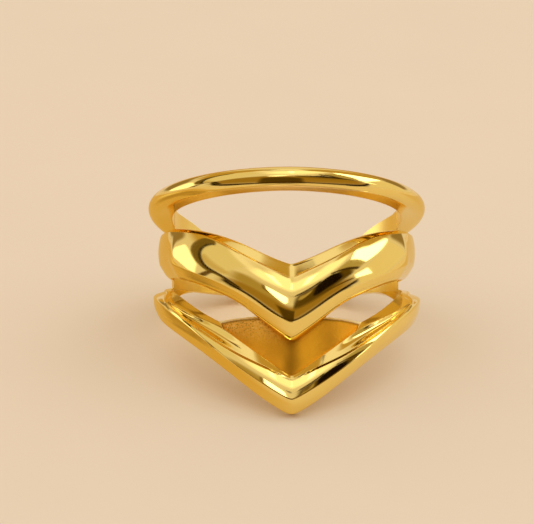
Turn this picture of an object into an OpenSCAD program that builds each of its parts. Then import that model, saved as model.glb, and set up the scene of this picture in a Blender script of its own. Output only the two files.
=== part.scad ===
// One-piece cast chevron ring: three bands in front that run together into one narrow shank.
// Millimetres. The ring rests on the tip of its lower V and on the back of its shank.
// It is drawn upright first: finger axis along Z, front towards -Y, and the middle of
// the top band at height 0. Azimuth is counted in degrees from the front, the same both ways.

/* [Finger hole] */
// Inside diameter of the ring
finger_d = 17.3; // [15:0.1:21]

/* [Top band] */
// Height of the top band along the finger
top_band_h = 1.55; // [1.2:0.05:1.9]
// Thickness of the top band from finger to outside
top_band_t = 1.8; // [1.5:0.05:2.2]

/* [Middle band] */
// Thickness of the domed middle band at the front
middle_band_t = 1.75; // [1.4:0.05:2.2]
// Rounding of the middle V's point, in degrees of azimuth
middle_point = 1.2; // [0.6:0.1:3]

/* [Lower band] */
// Thickness of the lower band at its ridge, at the front
lower_band_t = 1.65; // [1.4:0.05:2.2]
// Rounding of the lower V's point, in degrees of azimuth
lower_point = 1.6; // [0.6:0.1:3]

/* [Web] */
// Greatest thickness of the web, on either side of its valley
web_t = 0.6; // [0.4:0.05:0.9]
// Height of the web's level upper edge
web_top = -10.2; // [-10.6:0.1:-9.6]

/* [Shank] */
// Thickness of the shank at the back
shank_t = 1.35; // [1.1:0.05:1.8]

/* [Hidden] */

gold = [0.85, 0.64, 0.24];
finger_r = finger_d / 2;

// Each section starts this far inside the finger hole, which is cut last. The five differ, so
// that no two inner skins lie together.
top_core = 0.4;
middle_core = 0.5;
lower_core = 0.6;
web_core = 0.7;
shank_core = 0.8;

// Columns of the middle band: azimuth, upper edge, bevel's crease, rim's crease, lower edge
// (heights), and the share of middle_band_t that it stands out.
AZ = 0;
M_TOP = 1;
M_BEVEL = 2;
M_RIM = 3;
M_LOW = 4;
M_OUT = 5;
middle_rows = [
    [0, -6.45, -7.6, -10.95, -12.15, 1],
    [10, -5.75, -6.75, -9.85, -10.8, 1],
    [20, -4.85, -5.75, -8.6, -9.35, 1],
    [30, -4.1, -4.65, -7.6, -8.4, 1],
    [40, -3.5, -3.85, -6.8, -7.6, 1],
    [50, -3.05, -3.35, -6.0, -6.95, 0.99],
    [60, -2.65, -2.95, -5.2, -6.45, 0.93],
    [75, -2.2, -2.5, -4.6, -5.85, 0.71],
    [90, -1.9, -2.2, -4.3, -5.35, 0.6],
    [105, -1.75, -2.1, -4.2, -5.0, 0.57],
    [120, -1.7, -2.1, -4.1, -4.6, 0.5],
    [135, -1.7, -2.1, -3.9, -4.3, 0.4]
];

// Columns of the lower band: azimuth, upper inner edge, crease of the crescent facet, ridge,
// lower edge (heights), how far the crescent's crease stands out, and the ridge's share.
L_TOP = 1;
L_FACET = 2;
L_RIDGE = 3;
L_LOW = 4;
L_FACET_OUT = 5;
L_OUT = 6;
lower_rows = [
    [0, -14.5, -14.9, -16.6, -17.6, 0.4, 1],
    [5, -13.85, -14.45, -16.05, -17.05, 0.6, 1],
    [10, -13.2, -14.05, -15.45, -16.45, 0.9, 1],
    [20, -12.0, -13.2, -14.15, -15.1, 1.2, 1],
    [30, -10.75, -12.05, -12.75, -13.75, 1.3, 1],
    [40, -9.9, -10.8, -11.25, -12.5, 1.2, 1],
    [50, -9.0, -9.55, -9.95, -11.35, 0.95, 1],
    [60, -8.1, -8.4, -8.9, -10.3, 0.75, 0.99],
    [75, -6.95, -7.1, -7.8, -9.0, 0.65, 0.88],
    [90, -6.15, -6.25, -6.85, -7.75, 0.55, 0.82],
    [105, -5.5, -5.55, -5.95, -6.6, 0.45, 0.76],
    [120, -4.8, -4.85, -5.0, -5.5, 0.3, 0.66],
    [135, -4.2, -4.25, -4.4, -4.8, 0.2, 0.5]
];

// Columns of the top band: azimuth, height of its middle, share of its height and thickness
T_MID = 1;
T_SIZE = 2;
T_OUT = 3;
top_rows = [
    [0, 0, 1, 1],
    [60, 0, 1, 1],
    [90, 0, 1, 1],
    [105, -0.2, 1, 0.92],
    [120, -0.6, 0.95, 0.72],
    [135, -1.2, 0.9, 0.5]
];

// Columns of the shank: azimuth, upper edge, lower edge, and share of shank_t
S_TOP = 1;
S_LOW = 2;
S_OUT = 3;
shank_rows = [
    [102, 0.35, -5.9, 0.12],
    [106, 0.38, -5.75, 0.28],
    [112, 0.4, -5.5, 0.44],
    [120, 0.3, -5.3, 0.62],
    [130, -0.02, -5.1, 0.8],
    [140, -0.75, -4.95, 0.92],
    [150, -1.4, -4.85, 1],
    [160, -1.9, -4.8, 1],
    [180, -2.3, -4.75, 1]
];

// How far the bands run on into the shank, and where the web ends inside the lower band
band_end = 135;
web_end = 37;

// Steps of each sweep from the front to its end
top_steps = 26;
v_steps = 40;
web_steps = 12;
shank_steps = 16;

// Smooth interpolation in a table of rows
function row_of(rows, a, i = 0) =
    (i >= len(rows) - 2 || a < rows[i + 1][AZ]) ? i : row_of(rows, a, i + 1);
function slope(rows, c, i) =
    let (lo = max(i - 1, 0), hi = min(i + 1, len(rows) - 1))
    (rows[hi][c] - rows[lo][c]) / (rows[hi][AZ] - rows[lo][AZ]);
function at(rows, c, a) =
    let (
        i = row_of(rows, a),
        w = rows[i + 1][AZ] - rows[i][AZ],
        t = (a - rows[i][AZ]) / w
    )
    (2 * t ^ 3 - 3 * t ^ 2 + 1) * rows[i][c]
    + (t ^ 3 - 2 * t ^ 2 + t) * w * slope(rows, c, i)
    + (3 * t ^ 2 - 2 * t ^ 3) * rows[i + 1][c]
    + (t ^ 3 - t ^ 2) * w * slope(rows, c, i + 1);

// Azimuth on either side of a V, with its point rounded off
function soft(a, point) = sqrt(a ^ 2 + point ^ 2) - point;

// Azimuths from -end to end, closer together near the front where power is above 1
function stations(end, steps, power) =
    [for (k = [-steps:steps]) sign(k) * end * pow(abs(k) / steps, power)];

// Azimuths from -end to end in an odd number of equal steps, so that a facet lies in the middle
function facing_back(end, steps) = [for (k = [0:steps]) end * (2 * k / steps - 1)];

// A corner point rounded by a quadratic curve between its neighbours' sides
function rounded(a, corner, b, cut, n = 3) =
    let (
        p = corner + (a - corner) * min(0.5, cut / norm(a - corner)),
        q = corner + (b - corner) * min(0.5, cut / norm(b - corner))
    )
    [for (k = [0:n]) let (t = k / n) (1 - t) ^ 2 * p + 2 * t * (1 - t) * corner + t ^ 2 * q];

// Sections: lists of [distance outside the finger wall, height], counted from the inside top
function top_section(az) =
    let (
        a = abs(az),
        z = at(top_rows, T_MID, a),
        h = top_band_h * at(top_rows, T_SIZE, a) / 2,
        t = top_band_t * at(top_rows, T_OUT, a)
    )
    concat(
        [[-top_core, z + h]],
        [for (k = [0:7]) let (f = 90 - k * 20) [t * 0.5 + t * 0.5 * cos(f), z + h * sin(f)]],
        rounded([t * 0.97, z - h * 0.6], [t * 0.9, z - h], [0, z - h], 0.12, 2),
        [[-top_core, z - h]]
    );

function middle_section(az) =
    let (
        a = soft(az, middle_point),
        edge = soft(az, 2 * middle_point),
        z_top = at(middle_rows, M_TOP, a),
        z_bevel = at(middle_rows, M_BEVEL, a),
        z_rim = at(middle_rows, M_RIM, edge),
        z_low = at(middle_rows, M_LOW, edge),
        t = middle_band_t * at(middle_rows, M_OUT, abs(az)),
        puff = 0.22
    )
    concat(
        [[-middle_core, z_top + 0.05], [t * 0.42, z_top + 0.02]],
        [[t * 0.52, z_top - 0.04]],
        [for (k = [0:6]) let (f = k / 6)
            [t * (0.86 + 0.06 * f) + puff * sin(180 * f) * t / 1.75, z_bevel + (z_rim - z_bevel) * f]],
        [[t * 0.72, z_rim + (z_low - z_rim) * 0.55]],
        [[t * 0.42, z_low - 0.02], [t * 0.3, z_low], [-middle_core, z_low + 0.25]]
    );

function lower_section(az) =
    let (
        a = soft(az, lower_point),
        edge = soft(az, 1.6 * lower_point),
        z_top = at(lower_rows, L_TOP, a),
        z_facet = at(lower_rows, L_FACET, a),
        z_ridge = at(lower_rows, L_RIDGE, a),
        z_low = at(lower_rows, L_LOW, edge),
        t = lower_band_t * at(lower_rows, L_OUT, abs(az)),
        facet = at(lower_rows, L_FACET_OUT, abs(az)),
        rise = lower_core * (z_top - z_facet) / facet,
        z_mid = z_ridge + (z_low - z_ridge) * 0.5,
        ridge_cut = 0.1 + 0.5 * min(1, abs(az) / 80) ^ 2
    )
    concat(
        [[-lower_core, z_top + rise], [facet, z_facet]],
        rounded([facet, z_facet], [t + 0.02, z_ridge], [t * 0.86, z_mid], ridge_cut),
        [[t * 0.86, z_mid]],
        [[t * 0.62, z_low + 0.03], [t * 0.5, z_low], [-lower_core, z_low + 0.4]]
    );

function web_section(az) =
    let (
        a = abs(az),
        z_low = at(lower_rows, L_TOP, a) - 1.2,
        along = a / web_end,
        t = max(0.08, web_t * (0.6 + 0.8 * along) * (1 - along ^ 3))
    )
    [[-web_core, web_top], [t * 0.7, web_top], [t, web_top - 0.12], [t, min(z_low, web_top - 0.5)],
        [-web_core, min(z_low, web_top - 0.5)]];

function shank_section(az) =
    let (
        a = 180 - abs(az),
        z_top = at(shank_rows, S_TOP, a),
        z_low = at(shank_rows, S_LOW, a),
        t = shank_t * at(shank_rows, S_OUT, a),
        r = t * 0.62,
        crown = t * 0.05
    )
    concat(
        [[-shank_core, z_top + 0.3]],
        rounded([0, z_top], [t, z_top - 0.08], [t, z_top - 2], r, 4),
        [[t + crown, (z_top + z_low) / 2]],
        rounded([t, z_low + 2], [t, z_low + 0.08], [0, z_low], r, 4),
        [[-shank_core, z_low - 0.3]]
    );

// A section's points in space
function placed(section, az, turn) =
    [for (p = section) let (r = finger_r + p.x, b = az + turn) [r * sin(b), -r * cos(b), p.y]];

// Triangles between neighbouring sections, and a flat cap at each end
function skin_faces(m, n) = concat(
    [for (j = [0:n - 2], i = [0:m - 1]) let (k = (i + 1) % m)
        [j * m + i, (j + 1) * m + i, (j + 1) * m + k]],
    [for (j = [0:n - 2], i = [0:m - 1]) let (k = (i + 1) % m)
        [j * m + i, (j + 1) * m + k, j * m + k]],
    [[for (i = [0:m - 1]) i]],
    [[for (i = [m - 1:-1:0]) (n - 1) * m + i]]
);

module sweep(sections, azimuths, turn = 0) {
    points = [for (j = [0:len(azimuths) - 1]) each placed(sections[j], azimuths[j], turn)];
    polyhedron(points, skin_faces(len(sections[0]), len(azimuths)), convexity = 8);
}

// The bands, each as a sweep round the finger
top_az = stations(band_end, top_steps, 1);
v_az = stations(band_end, v_steps, 1.35);
web_az = stations(web_end, web_steps, 1.2);
shank_az = facing_back(180 - shank_rows[0][AZ], 2 * shank_steps + 1);
top_sections = [for (a = top_az) top_section(a)];
middle_sections = [for (a = v_az) middle_section(a)];
lower_sections = [for (a = v_az) lower_section(a)];
web_sections = [for (a = web_az) web_section(a)];
shank_sections = [for (a = shank_az) shank_section(a)];

module top_band() {
    color(gold) sweep(top_sections, top_az);
}

module middle_band() {
    color(gold) sweep(middle_sections, v_az);
}

module lower_band() {
    color(gold) sweep(lower_sections, v_az);
}

module web() {
    color(gold) sweep(web_sections, web_az);
}

module shank() {
    color(gold) sweep(shank_sections, shank_az, 180);
}

module finger_hole() {
    translate([0, 0, -25]) cylinder(r = finger_r, h = 50, $fn = 144);
}

// The casting before its finger hole is cut
module cast() {
    top_band();
    middle_band();
    lower_band();
    web();
    shank();
}

// The points of a section that are left outside the finger hole, with its cut lower edge
function standing(section) =
    let (
        a = section[len(section) - 1],
        b = section[len(section) - 2],
        edge = [0, a.y - (b.y - a.y) * a.x / (b.x - a.x)]
    )
    concat([edge], [for (p = section) if (p.x > 0) p]);

// How low the tip of the lower V and the back of the shank reach when the ring leans back by tilt
function tip_low(tilt) =
    min([for (p = standing(lower_section(0))) (finger_r + p.x) * sin(tilt) + p.y * cos(tilt)]);
function back_low(tilt) =
    let (back = shank_az[shank_steps])
    min([for (p = standing(shank_section(back)))
        p.y * cos(tilt) - (finger_r + p.x) * cos(back) * sin(tilt)]);

// The lean at which both touch the surface, found by halving
function resting(lo, hi, n = 24) =
    let (mid = (lo + hi) / 2)
    n == 0 ? mid
    : tip_low(mid) > back_low(mid) ? resting(lo, mid, n - 1) : resting(mid, hi, n - 1);
rest_tilt = resting(20, 45);

// Depth of the leaning ring, from the front of the V to the back of the top edge
function reach(sections, azimuths, turn) = [for (j = [0:len(azimuths) - 1])
    for (p = placed(standing(sections[j]), azimuths[j], turn))
        p.y * cos(rest_tilt) + p.z * sin(rest_tilt)];
front_y = min(reach(lower_sections, v_az, 0));
back_y = max(reach(shank_sections, shank_az, 180));

module ring() {
    color(gold)
    translate([0, -(front_y + back_y) / 2, -tip_low(rest_tilt)])
    rotate([-rest_tilt, 0, 0])
    resize([0, 0, 0])
    difference() {
        cast();
        finger_hole();
    }
}

ring();
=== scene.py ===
"""Polished cast chevron ring: three bands that run together into one narrow shank."""

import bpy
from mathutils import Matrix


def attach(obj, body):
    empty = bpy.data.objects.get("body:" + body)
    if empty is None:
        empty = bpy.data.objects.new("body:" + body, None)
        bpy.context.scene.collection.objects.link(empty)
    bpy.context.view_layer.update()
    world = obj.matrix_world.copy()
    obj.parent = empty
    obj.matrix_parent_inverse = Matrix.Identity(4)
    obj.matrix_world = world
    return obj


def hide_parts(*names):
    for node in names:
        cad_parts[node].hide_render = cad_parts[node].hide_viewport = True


bl_info = {
    "name": "Chevron ring",
    "version": (1, 0, 0),
    "blender": (4, 5, 0),
    "location": "3D View > Sidebar > Ring",
    "description": "Builds a polished cast chevron ring and its small studio",
    "category": "Add Mesh",
}

from math import copysign, cos, hypot, pi, radians, sin, sqrt, tan

import bmesh
import bpy
from mathutils import Matrix, Vector, noise

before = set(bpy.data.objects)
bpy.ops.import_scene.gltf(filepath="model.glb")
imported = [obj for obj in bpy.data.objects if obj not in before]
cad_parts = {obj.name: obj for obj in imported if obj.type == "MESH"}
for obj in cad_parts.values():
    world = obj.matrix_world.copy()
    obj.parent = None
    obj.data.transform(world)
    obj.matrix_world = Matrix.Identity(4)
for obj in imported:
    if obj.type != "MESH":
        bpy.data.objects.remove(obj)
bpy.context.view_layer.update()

# One millimetre in metres
MM = 0.001

# The lean of the resting ring and the place of its upright frame, as in the part's source
REST_TILT = radians(34.8635)
UPRIGHT_ORIGIN = Vector((0.0, 5.71272, 9.30654)) * MM
TO_REST = Matrix.Translation(UPRIGHT_ORIGIN) @ Matrix.Rotation(-REST_TILT, 4, "X")
FINGER_AXIS = TO_REST.to_3x3() @ Vector((0.0, 0.0, 1.0))

# First column of the tables: azimuth from the front in degrees. The others hold heights along
# the finger or distances in millimetres, and shares of a height or thickness.
AZ = 0

# Middle band: upper edge, bevel's crease, rim's crease, lower edge, share of the thickness
M_TOP, M_BEVEL, M_RIM, M_LOW, M_OUT = 1, 2, 3, 4, 5
MIDDLE_ROWS = (
    (0, -6.45, -7.6, -10.95, -12.15, 1),
    (10, -5.75, -6.75, -9.85, -10.8, 1),
    (20, -4.85, -5.75, -8.6, -9.35, 1),
    (30, -4.1, -4.65, -7.6, -8.4, 1),
    (40, -3.5, -3.85, -6.8, -7.6, 1),
    (50, -3.05, -3.35, -6.0, -6.95, 0.99),
    (60, -2.65, -2.95, -5.2, -6.45, 0.93),
    (75, -2.2, -2.5, -4.6, -5.85, 0.71),
    (90, -1.9, -2.2, -4.3, -5.35, 0.6),
    (105, -1.75, -2.1, -4.2, -5.0, 0.57),
    (120, -1.7, -2.1, -4.1, -4.6, 0.5),
    (135, -1.7, -2.1, -3.9, -4.3, 0.4),
)

# Lower band: upper inner edge, crease of the crescent facet, ridge, lower edge, how far the
# crescent's crease stands out, and the ridge's share of the thickness
L_TOP, L_FACET, L_RIDGE, L_LOW, L_FACET_OUT, L_OUT = 1, 2, 3, 4, 5, 6
LOWER_ROWS = (
    (0, -14.5, -14.9, -16.6, -17.6, 0.4, 1),
    (5, -13.85, -14.45, -16.05, -17.05, 0.6, 1),
    (10, -13.2, -14.05, -15.45, -16.45, 0.9, 1),
    (20, -12.0, -13.2, -14.15, -15.1, 1.2, 1),
    (30, -10.75, -12.05, -12.75, -13.75, 1.3, 1),
    (40, -9.9, -10.8, -11.25, -12.5, 1.2, 1),
    (50, -9.0, -9.55, -9.95, -11.35, 0.95, 1),
    (60, -8.1, -8.4, -8.9, -10.3, 0.75, 0.99),
    (75, -6.95, -7.1, -7.8, -9.0, 0.65, 0.88),
    (90, -6.15, -6.25, -6.85, -7.75, 0.55, 0.82),
    (105, -5.5, -5.55, -5.95, -6.6, 0.45, 0.76),
    (120, -4.8, -4.85, -5.0, -5.5, 0.3, 0.66),
    (135, -4.2, -4.25, -4.4, -4.8, 0.2, 0.5),
)

# Top band: height of its middle, share of its height, share of its thickness
T_MID, T_SIZE, T_OUT = 1, 2, 3
TOP_ROWS = (
    (0, 0, 1, 1),
    (60, 0, 1, 1),
    (90, 0, 1, 1),
    (105, -0.2, 1, 0.92),
    (120, -0.6, 0.95, 0.72),
    (135, -1.2, 0.9, 0.5),
)

# Top band's front, from its upper edge down: height as a share of half the band's height, and how
# far the surface faces up, in degrees
TOP_FRONT = (
    (1.0, 85), (0.85, 60), (0.645, 40), (0.44, 25), (0.26, 14), (0.065, 9), (-0.14, 6.5),
    (-0.18, -11), (-0.375, -14), (-0.57, -18), (-0.75, -22), (-0.9, -28), (-0.97, -45),
)

# Shank: upper edge, lower edge, share of the thickness
S_TOP, S_LOW, S_OUT = 1, 2, 3
SHANK_ROWS = (
    (102, 0.35, -5.9, 0.03),
    (106, 0.38, -5.75, 0.28),
    (112, 0.4, -5.5, 0.44),
    (120, 0.3, -5.3, 0.62),
    (130, -0.02, -5.1, 0.8),
    (140, -0.75, -4.95, 0.92),
    (150, -1.4, -4.85, 1),
    (160, -1.9, -4.8, 1),
    (180, -2.3, -4.75, 1),
)

# Ends of the bands and of the web, and the web's upper edge. Here and below, sizes are in
# millimetres and azimuths in degrees. A pair of azimuths is where a change starts and ends, and a
# pair of sizes holds the values before and after it.
BAND_END = 135
WEB_END = 37
WEB_TOP = -10.2

# Rounding of the points of the two V bands and of their lower edges
MIDDLE_POINT, MIDDLE_EDGE_POINT = 1.2, 2.4
LOWER_POINT, LOWER_EDGE_POINT = 1.6, 2.56

# Over these azimuths the bands' inner walls sink a little into the shank
SINK = (101, 104)
SINK_DEPTH = 0.06

# Top band: steps down its front and how they crowd at the top, where its front gives way to a
# plain dome, and where the dome gets rounder, with its last angle, its lower corner as a share of
# the thickness and its flatness. Then the share of that flatness in its height, its lean, the cut
# of its lower corner, and how its inner edges are drawn in.
TOP_STEPS = 60
TOP_CROWDING = 1.4
FRONT_GIVES_WAY = (25, 60)
DOME_ROUNDS = (20, 75)
DOME_LAST = (-48, -78)
DOME_CORNER = (0.9, 0.58)
DOME_FLAT = (1.35, 1.0)
FLAT_IN_HEIGHT = 0.1
DOME_LEAN = 0.07
DOME_CUT = (0.05, 0.16)
TOP_INNER_IN, TOP_UNDER_IN = 0.03, 0.02

# Middle band: the shoulder where its front turns into end facets, and where these end, its share
# of the thickness in front and at both, how fast it falls, and steps that even out the shoulder
SHOULDER, FACET_END = 57, 90
SHOULDER_SHARES = (1.0, 0.98, 0.6)
FACET_FALL = 2.3
SHOULDER_STEP, SHOULDER_REACH = 0.5, 3

# Middle band: where its arms begin and end, start and rise of its dome as shares of the thickness,
# upright and leaning, how far it bulges at the point and on the arms, and the dome's rows
ARM_START, ARM_END = (12, 45), (57, 66)
DOME_START = (0.83, 0.73)
DOME_RISE = (0.05, 0.25)
BULGE, BULGE_THICKNESS = (0.36, 0.22), 1.75
DOME_ROWS = 24

# Middle band: the bevel's upper edge as a share of the thickness, the step at its crease, the
# rim's turn and lower corner as shares of its height, the inner edges' rise, the corners' cuts
BEVEL_OUT = 0.48
BEVEL_STEP = (0.05, 0.03)
RIM_TURN = (0.46, 0.76)
RIM_LOW = 0.34
MIDDLE_RISE, MIDDLE_UNDER = 0.04, 0.24
UPPER_CUT, CREASE_CUT, RIM_CUT, TURN_CUT, LOW_CUT = 0.1, 0.03, 0.07, 0.25, 0.12

# Lower band: where its front facets end, where its lower bevel fills out, where the groove and the
# scooped crescent begin and end, and where its corners are roundest
FACETS_END = (62, 80)
BEVEL_FILLS = (38, 72)
GROOVE_START, GROOVE_END = (3, 12), (54, 68)
SCOOP_START, SCOOP_END = (16, 36), (62, 74)
ROUNDEST = 80

# Lower band: fall of its level faces in front, lean of the upright face and of the brim, least
# brim and least height of the crescent, depths of groove and scoop, how far the scoop's bottom
# drops for its depth, and half the crease's height at most and as a share
LEVEL_FALL, UPRIGHT_LEAN, BRIM_LEAN = 0.24, 0.115, 0.47
LEAST_BRIM, LEAST_CRESCENT = 0.25, 0.12
GROOVE_DEPTH, SCOOP_DEPTH, SCOOP_DROP = 0.2, 0.24, 0.3
CREASE_HALF, CREASE_SHARE = 0.09, 0.2

# Lower band: the upright face's crease and bend and the bevel's middle and lower edge as shares of
# the thickness, the bend's height, how far the ridge stands proud, the inner edges' rise, and the
# corners' cuts at the point and at the sides
UPRIGHT_OUT, BEND_OUT, BEND_UP = 0.995, 0.99, 0.46
PROUD = 0.01
BEVEL_MIDDLE, BEVEL_LOW = (0.86, 0.96), (0.56, 0.76)
LOWER_RISE, LOWER_UNDER = 0.08, 0.23
LOWER_CUTS = (
    (0.04, 0.04), (0.6, 0.6), (0.02, 0.22), (0.02, 0.22), (0.03, 0.23), (0.4, 0.4),
    (0.07, 0.47), (0.25, 0.25), (0.16, 0.16),
)

# Web: how far it reaches behind the lower band, its least height and thickness, the depth, point
# and width of its valley, how ragged its upper edge is and how fast that changes, its crest with
# two bends, its distance from the finger, and its rows
WEB_BEHIND, WEB_LEAST_HEIGHT, WEB_LEAST_THICKNESS = 1.0, 0.5, 0.08
VALLEY_DEPTH, VALLEY_POINT, VALLEY_WIDTH = (0.4, 1.25), 2.0, (1, 22)
RAGGED, RAGGED_RATE = 0.05, 0.9
CREST, CREST_BENDS, CREST_DROP = 0.2, (0.3, 0.6), 0.03
WEB_INSET = 0.04
WEB_ROWS = 26

# Shank: cut of its edges and crown of its face as shares of its thickness, how far its outer edges
# are drawn in, and from where the crown counts
SHANK_CUT, SHANK_CROWN, SHANK_IN, CROWN_FROM = 0.62, 0.05, 0.08, 0.9

# Stations of the pieces: the end, the steps up to it, and how they crowd at the middle
TOP_PLAN = (BAND_END, 150)
V_PLAN = (BAND_END, 180, 1.35)
SHANK_PLAN = (180 - SHANK_ROWS[0][AZ], 110)
WEB_PLAN = (WEB_END, 90, 1.1)

# Faces that meet at less than this angle, in degrees, are shaded as one
SMOOTH_BELOW = 32

# Smaller than any length or share that counts
TINY = 1e-9

# Second derivatives of the tables' columns, once worked out
CURVES = {}

# Weights that even a curve out over its neighbourhood, at steps of SPREAD degrees
SPREAD = 2.0
WEIGHTS = (0.03, 0.07, 0.12, 0.17, 0.22, 0.17, 0.12, 0.07, 0.03)


def bends(rows, column):
    """Second derivatives of the cubic curve through a table's column."""
    count = len(rows)
    widths = [rows[k + 1][AZ] - rows[k][AZ] for k in range(count - 1)]
    rises = [(rows[k + 1][column] - rows[k][column]) / widths[k] for k in range(count - 1)]
    ratio, value = [0.0] * count, [0.0] * count
    for k in range(1, count - 1):
        scale = 2 * (widths[k - 1] + widths[k]) - widths[k - 1] * ratio[k - 1]
        ratio[k] = widths[k] / scale
        value[k] = (6 * (rises[k] - rises[k - 1]) - widths[k - 1] * value[k - 1]) / scale
    result = [0.0] * count
    for k in range(count - 2, 0, -1):
        result[k] = value[k] - ratio[k] * result[k + 1]
    return result


def curve_at(rows, column, azimuth):
    """The cubic curve through a table's column, which runs on straight past its ends."""
    if (id(rows), column) not in CURVES:
        CURVES[id(rows), column] = bends(rows, column)
    bend = CURVES[id(rows), column]
    inside = min(max(azimuth, rows[0][AZ]), rows[-1][AZ])
    last = len(rows) - 2
    i = next((k for k in range(last) if inside < rows[k + 1][AZ]), last)
    width = rows[i + 1][AZ] - rows[i][AZ]
    b = (inside - rows[i][AZ]) / width
    a = 1 - b
    low, high = rows[i][column], rows[i + 1][column]
    value = a * low + b * high
    value += ((a**3 - a) * bend[i] + (b**3 - b) * bend[i + 1]) * width**2 / 6
    slope = (high - low) / width
    slope += ((3 * b**2 - 1) * bend[i + 1] - (3 * a**2 - 1) * bend[i]) * width / 6
    return value + slope * (azimuth - inside)


def smooth(rows, column, azimuth):
    """Smooth value of a table's column at an azimuth."""
    middle = len(WEIGHTS) // 2
    return sum(
        weight * curve_at(rows, column, azimuth + (k - middle) * SPREAD)
        for k, weight in enumerate(WEIGHTS)
    )


def soft(azimuth, point):
    """Azimuth on either side of a V, with its point rounded off."""
    return sqrt(azimuth**2 + point**2) - point


def ease(value, start, end):
    """Smooth step from 0 at start to 1 at end."""
    t = min(1.0, max(0.0, (value - start) / (end - start)))
    return t * t * (3 - 2 * t)


def blend(pair, share):
    """Value part of the way from the first of a pair to the second."""
    return pair[0] + (pair[1] - pair[0]) * share


def signed_power(value, power):
    """A power of a value's size, with its sign."""
    return copysign(abs(value) ** power, value)


def rounded(a, corner, b, cut, steps):
    """A corner rounded by a curve that starts `cut` before it, half-way along at most."""
    a, corner, b = Vector(a), Vector(corner), Vector(b)
    p = corner + (a - corner) * min(0.5, cut / max((a - corner).length, TINY))
    q = corner + (b - corner) * min(0.5, cut / max((b - corner).length, TINY))
    curve = []
    for k in range(steps + 1):
        t = k / steps
        curve.append((1 - t) ** 2 * p + 2 * t * (1 - t) * corner + t**2 * q)
    return [(v.x, v.y) for v in curve]


def straight(a, b, steps):
    """Points between two points of a section, both left out."""
    return [
        (a[0] + (b[0] - a[0]) * k / steps, a[1] + (b[1] - a[1]) * k / steps)
        for k in range(1, steps)
    ]


def path(corners, cuts, steps=6, between=3):
    """A section through corners, each rounded by its own cut, as (out, height) in millimetres."""
    points = [corners[0]]
    for k in range(1, len(corners) - 1):
        bend = rounded(corners[k - 1], corners[k], corners[k + 1], cuts[k - 1], steps)
        points += straight(points[-1], bend[0], between) + bend
    points += straight(points[-1], corners[-1], between)
    points.append(corners[-1])
    return points


def top_front(half, thick):
    """The top band's front as (out, height) from its middle, summed up from its angles."""
    points = []
    out, height = 0.0, half
    for k in range(TOP_STEPS + 1):
        share = 1 + (TOP_FRONT[-1][0] - 1) * (k / TOP_STEPS) ** TOP_CROWDING
        i = next(i for i in range(1, len(TOP_FRONT)) if share >= TOP_FRONT[i][0] - TINY)
        (high, steep), (low, flat) = TOP_FRONT[i - 1], TOP_FRONT[i]
        angle = steep + (flat - steep) * (high - share) / (high - low)
        out += (height - share * half) * tan(radians(angle))
        height = share * half
        points.append((out, height))
    furthest = max(point[0] for point in points)
    return [(out - furthest + thick, height) for out, height in points]


def top_dome(half, thick, side):
    """The top band's plain dome as (out, height) from its middle."""
    flat = blend(DOME_FLAT, side)
    last = radians(blend(DOME_LAST, side))
    points = []
    for k in range(TOP_STEPS + 1):
        f = pi / 2 + (last - pi / 2) * k / TOP_STEPS
        out = signed_power(cos(f), 1 / flat)
        height = signed_power(sin(f), 1 / (1 + FLAT_IN_HEIGHT * (flat - 1)))
        points.append((thick / 2 * (1 + out) - DOME_LEAN * half * height, half * height))
    return points


def top_section(azimuth, sizes):
    """Half-round band with a flat underside, rounder towards the sides."""
    a = abs(azimuth)
    middle = smooth(TOP_ROWS, T_MID, a)
    half = sizes.top_band_h * smooth(TOP_ROWS, T_SIZE, a) / 2
    thick = sizes.top_band_t * smooth(TOP_ROWS, T_OUT, a)
    side = ease(a, *DOME_ROUNDS)
    domed = ease(a, *FRONT_GIVES_WAY)
    face = [
        (blend((p[0], q[0]), domed), middle + blend((p[1], q[1]), domed))
        for p, q in zip(top_front(half, thick), top_dome(half, thick, side))
    ]
    low = middle - half
    corner = (blend((face[-1][0], thick * blend(DOME_CORNER, side)), domed), low)
    bend = rounded(face[-1], corner, (0, low), blend(DOME_CUT, domed), steps=5)
    inner = (0, middle + half - TOP_INNER_IN)
    under = (0, low + TOP_UNDER_IN)
    return [inner] + face + bend + straight(bend[-1], under, steps=4) + [under]


def sharp_shoulder(azimuth):
    """Share of the middle band's thickness, with a sharp corner at its shoulder."""
    front, corner, side = SHOULDER_SHARES
    if azimuth < SHOULDER:
        wave = cos(pi * azimuth / SHOULDER)
        return (front + corner) / 2 + (front - corner) / 2 * wave
    if azimuth < FACET_END:
        left = 1 - (azimuth - SHOULDER) / (FACET_END - SHOULDER)
        return side + (corner - side) * left**FACET_FALL
    return smooth(MIDDLE_ROWS, M_OUT, azimuth)


def shoulder(azimuth):
    """Share of the middle band's thickness, with a soft corner to its facets."""
    shares = [
        sharp_shoulder(abs(azimuth) + SHOULDER_STEP * k)
        for k in range(-SHOULDER_REACH, SHOULDER_REACH + 1)
    ]
    return sum(shares) / len(shares)


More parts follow.
